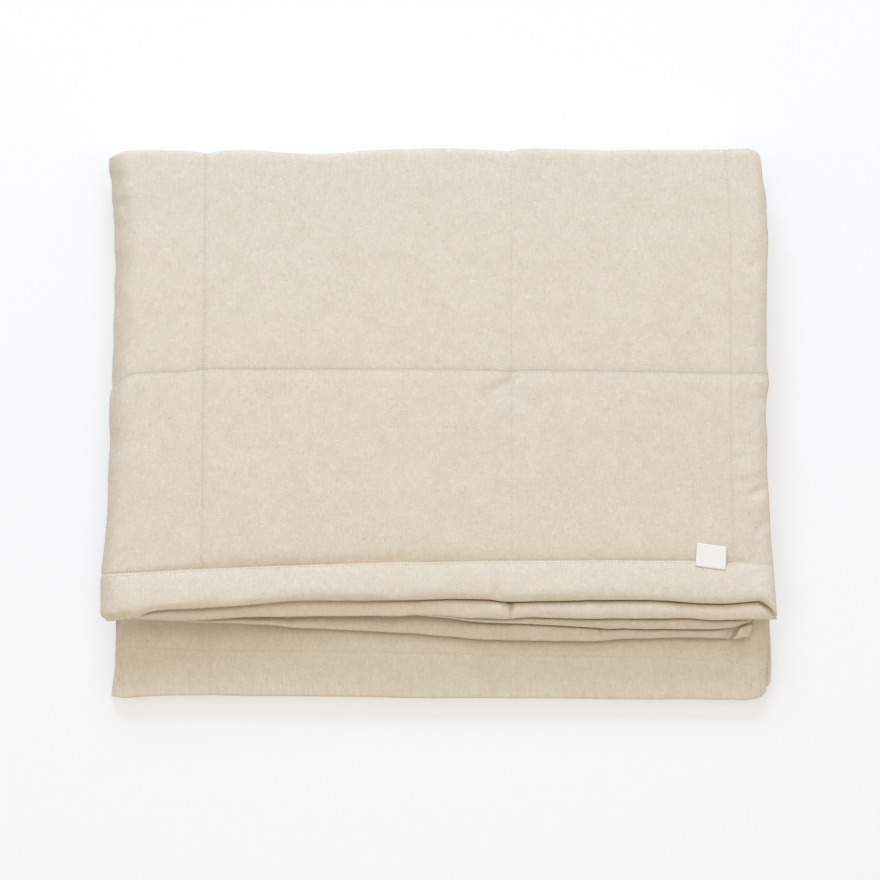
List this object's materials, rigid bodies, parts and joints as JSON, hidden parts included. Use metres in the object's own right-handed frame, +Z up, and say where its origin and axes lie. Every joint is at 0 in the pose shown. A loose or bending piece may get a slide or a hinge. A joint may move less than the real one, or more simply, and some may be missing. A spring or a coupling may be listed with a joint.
{
  "type": "folded bedspread",
  "caption": "Quilted linen-look bedspread folded into a soft flat packet, its upper half set back so that the layered edges and the front fold show.",
  "frame": {"origin": "middle of the bounding box, on the surface the packet lies on", "axes": "+X to the right along the front fold, towards the free edges; +Y to the back fold; +Z up"},
  "size_m": [0.8046, 0.6706, 0.0868],
  "materials": {
    "cloth": "natural beige linen-look weave with short slubs, quilted in large squares",
    "label_tape": "plain white woven tape"
  },
  "bodies": {
    "root": {"bedspread": "cloth", "label": "label_tape"}
  },
  "joints": []
}
